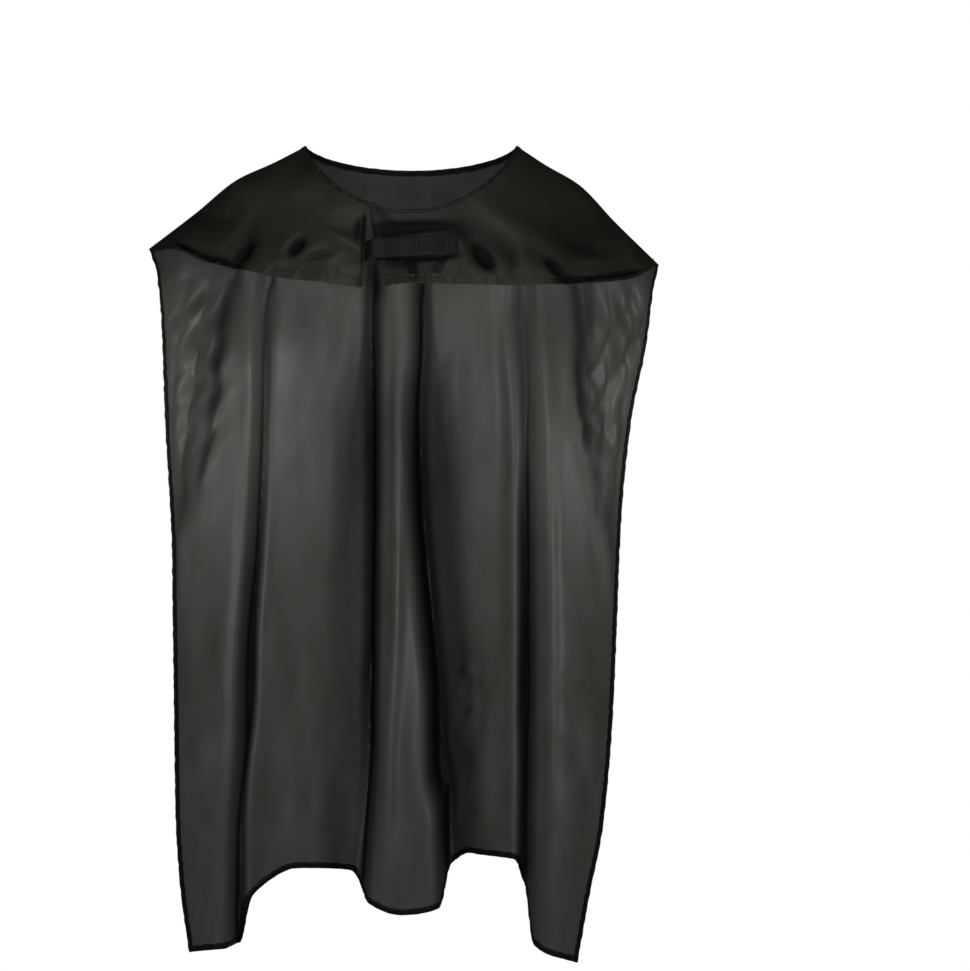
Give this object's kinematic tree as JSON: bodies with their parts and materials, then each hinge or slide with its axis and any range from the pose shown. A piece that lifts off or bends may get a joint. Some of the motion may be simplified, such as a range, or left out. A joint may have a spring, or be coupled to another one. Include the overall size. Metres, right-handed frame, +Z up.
{
  "type": "superhero cape",
  "caption": "Child's plain satin dress-up cape: back hanging in folds, two short front flaps over the shoulders, hook-and-loop strap across the chest.",
  "frame": {"origin": "midway between the two points where the cape sits at the sides of the wearer's neck, at their height", "axes": "+Z up, the wearer faces -Y, +X is the wearer's left"},
  "size_m": [0.436, 0.2363, 0.6938],
  "materials": {
    "satin": "black polyester satin, shiny outside and duller inside",
    "edge_tape": "black satin bias tape, sewn",
    "strap_cloth": "folded black satin, stitched",
    "hook_tape": "black nylon hook tape",
    "loop_tape": "black brushed loop tape"
  },
  "bodies": {
    "shoulders": {"shoulder_panel": "satin", "nape_tape": "edge_tape"},
    "back": {"back_panel": "satin", "right_side_tape": "edge_tape", "left_side_tape": "edge_tape", "hem_tape": "edge_tape"},
    "right_flap": {"right_front_flap": "satin", "right_neck_tape": "edge_tape", "right_flap_hem_tape": "edge_tape", "right_slit_tape": "edge_tape", "strap_sewn_end": "strap_cloth"},
    "left_flap": {"left_front_flap": "satin", "left_neck_tape": "edge_tape", "left_flap_hem_tape": "edge_tape", "left_slit_tape": "edge_tape", "loop_patch": "loop_tape"},
    "strap": {"closing_strap": "strap_cloth", "hook_patch": "hook_tape"}
  },
  "joints": [
    {"name": "back_swing", "type": "hinge", "parent": "shoulders", "child": "back", "pos_m": [0, 0.105, -0.112], "axis": [1, 0, 0], "range_deg": [0, 45]},
    {"name": "right_flap_open", "type": "hinge", "parent": "shoulders", "child": "right_flap", "pos_m": [-0.0885, 0, 0], "axis": [-0.8282, -0.0496, -0.5583], "range_deg": [0, 120]},
    {"name": "left_flap_open", "type": "hinge", "parent": "shoulders", "child": "left_flap", "pos_m": [0.0925, 0, 0], "axis": [-0.7618, 0.0502, 0.6458], "range_deg": [0, 90]},
    {"name": "strap_peel", "type": "hinge", "parent": "right_flap", "child": "strap", "pos_m": [-0.0345, -0.0755, -0.0845], "axis": [0, 0, -1], "range_deg": [0, 130]}
  ],
  "couplings": [
    {"joint": "left_flap_open", "follows": "right_flap_open", "ratio": 0.75}
  ]
}
